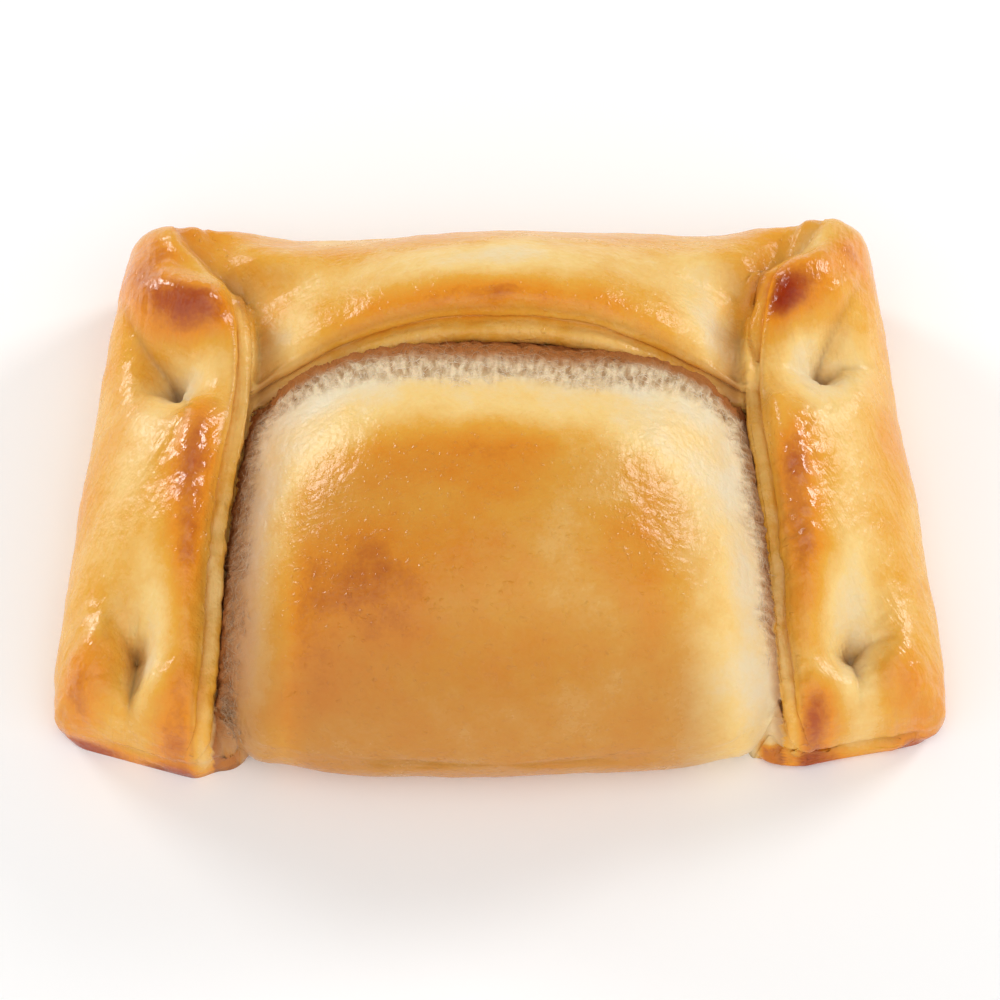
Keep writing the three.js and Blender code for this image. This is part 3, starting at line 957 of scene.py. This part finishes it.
def make_fibres(settings):
    """Torn fibres of crumb, rooted in the crust where it is torn."""
    mesh = bpy.data.objects["crust"].data
    crumb = np.zeros(len(mesh.vertices), np.float32)
    mesh.attributes["crumb"].data.foreach_get("value", crumb)
    draw = random.Random(FIBRE_SEED)
    crust = Crust(point_values(mesh, "co", "vertices", 3) / MM)
    rooted = (crumb > 0.35) & (crust.side < -0.9) & (crust.back < -2.5)
    torn = [mesh.vertices[i] for i in np.flatnonzero(rooted)]
    if not torn:
        raise RuntimeError("the crust has no torn crumb for the fibres to grow from")
    curve = bpy.data.curves.new("fibres", "CURVE")
    curve.dimensions = "3D"
    curve.bevel_depth = settings.thickness / 2
    curve.bevel_resolution = 0
    curve.use_fill_caps = True
    for _ in range(settings.count):
        root = draw.choice(torn)
        lean = Vector([draw.gauss(0, 0.7) for _ in range(3)]) + 1.3 * (BELLY * MM - root.co).normalized()
        lean -= lean.dot(root.normal) * root.normal
        way = (lean.normalized() + root.normal * draw.uniform(0.1, 0.7)).normalized()
        bend = Vector([draw.gauss(0, 0.5) for _ in range(3)]) - 0.5 * root.normal
        length = settings.length * draw.uniform(0.3, 1)
        spline = curve.splines.new("POLY")
        spline.points.add(3)
        for i, point in enumerate(spline.points):
            share = i / 3
            place = root.co - root.normal * 0.1 * MM + length * (share * way + 0.45 * share**2 * bend)
            point.co = (*place, 1)
            point.radius = 1 - 0.75 * share
    line = bpy.data.objects.new("fibres", curve)
    bpy.context.scene.collection.objects.link(line)
    evaluated = line.evaluated_get(bpy.context.evaluated_depsgraph_get())
    fibres = bpy.data.meshes.new_from_object(evaluated)
    bpy.data.objects.remove(line)
    bpy.data.curves.remove(curve)
    # Painted shade on the fibres close under the flaps.
    store(fibres, "gap", painted_shade_and_bake_share(Crust(point_values(fibres, "co", "vertices", 3) / MM)))
    fibres.materials.clear()
    fibres.materials.append(crumb_material(settings))
    piece = bpy.data.objects.new("torn_crumb", fibres)
    bpy.context.scene.collection.objects.link(piece)
    return piece


def add_light(name, place, target, size, power):
    """A square soft box that points at the empanada."""
    light = bpy.data.lights.new(name, "AREA")
    light.shape = "SQUARE"
    light.size = size
    light.energy = power
    lamp = bpy.data.objects.new(name, light)
    lamp.location = place
    lamp.rotation_euler = (Vector(target) - Vector(place)).to_track_quat("-Z", "Y").to_euler()
    bpy.context.scene.collection.objects.link(lamp)


def make_floor(settings):
    """A wide pale floor under the empanada."""
    bm = bmesh.new()
    bmesh.ops.create_grid(bm, x_segments=1, y_segments=1, size=4)
    mesh = bpy.data.meshes.new("floor")
    bm.to_mesh(mesh)
    bm.free()
    material, _, shader = new_material("pale_floor")
    shader.inputs["Base Color"].default_value = (*settings.floor, 1)
    shader.inputs["Roughness"].default_value = 0.7
    mesh.materials.append(material)
    floor = bpy.data.objects.new("floor", mesh)
    bpy.context.scene.collection.objects.link(floor)
    return floor


def make_camera(settings):
    """The camera in front of the empanada, looking down on it."""
    data = bpy.data.cameras.new("camera")
    data.lens = settings.lens
    data.sensor_width = 36
    camera = bpy.data.objects.new("camera", data)
    target = LOOK_AT * MM
    away = Vector((0, -cos(settings.elevation), sin(settings.elevation)))
    camera.location = target + away * settings.distance
    camera.rotation_euler = (-away).to_track_quat("-Z", "Y").to_euler()
    bpy.context.scene.collection.objects.link(camera)
    bpy.context.scene.camera = camera


class EMPANADA_OT_crust(bpy.types.Operator):
    """Make the crust over the frame's solid"""

    bl_idname = "empanada.crust"
    bl_label = "Make crust"

    def execute(self, context):
        piece = make_crust(context.scene.empanada_crust)
        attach(piece, "root")
        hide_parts(NODE)
        return {"FINISHED"}


class EMPANADA_OT_crumb(bpy.types.Operator):
    """Make the torn crumb along the flaps"""

    bl_idname = "empanada.crumb"
    bl_label = "Make torn crumb"

    def execute(self, context):
        piece = make_fibres(context.scene.empanada_crumb)
        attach(piece, "root")
        return {"FINISHED"}


class EMPANADA_OT_stage(bpy.types.Operator):
    """Make the floor, the lights and the camera"""

    bl_idname = "empanada.stage"
    bl_label = "Make stage"

    def execute(self, context):
        settings = context.scene.empanada_stage
        make_floor(settings)
        middle = (0, 0, 0.02)
        add_light("left_box", (-0.72, 0.56, 0.3), middle, 0.3, settings.side_light)
        add_light("right_box", (0.72, 0.5, 0.42), middle, 0.3, settings.side_light)
        add_light("top_box", (0.05, -0.35, 1.0), middle, 0.9, settings.top_light)
        for side in (-1, 1):
            add_light("front_box", (side * 0.6, -0.75, 0.55), middle, 1.3, settings.front_light)
        world = bpy.data.worlds.new("studio")
        world.use_nodes = True
        background = world.node_tree.nodes["Background"]
        background.inputs["Color"].default_value = (1, 1, 1, 1)
        background.inputs["Strength"].default_value = settings.sky
        context.scene.world = world
        context.scene.view_settings.view_transform = "Standard"
        make_camera(settings)
        return {"FINISHED"}


class EMPANADA_PT_parts(bpy.types.Panel):
    """The empanada's pieces and its stage"""

    bl_idname = "EMPANADA_PT_parts"
    bl_label = "Empanada"
    bl_space_type = "VIEW_3D"
    bl_region_type = "UI"
    bl_category = "Empanada"

    def draw(self, context):
        for operator in OPERATORS:
            self.layout.operator(operator.bl_idname)


OPERATORS = (EMPANADA_OT_crust, EMPANADA_OT_crumb, EMPANADA_OT_stage)
GROUPS = {"empanada_crust": CrustSettings, "empanada_crumb": CrumbSettings, "empanada_stage": StageSettings}


def register():
    for kind in (*GROUPS.values(), *OPERATORS, EMPANADA_PT_parts):
        bpy.utils.register_class(kind)
    for name, group in GROUPS.items():
        setattr(bpy.types.Scene, name, bpy.props.PointerProperty(type=group))


def unregister():
    for name in GROUPS:
        delattr(bpy.types.Scene, name)
    for kind in (EMPANADA_PT_parts, *reversed(OPERATORS), *reversed(GROUPS.values())):
        bpy.utils.unregister_class(kind)


def main():
    register()
    bpy.ops.empanada.crust()
    bpy.ops.empanada.crumb()
    bpy.ops.empanada.stage()


if __name__ == "__main__":
    main()
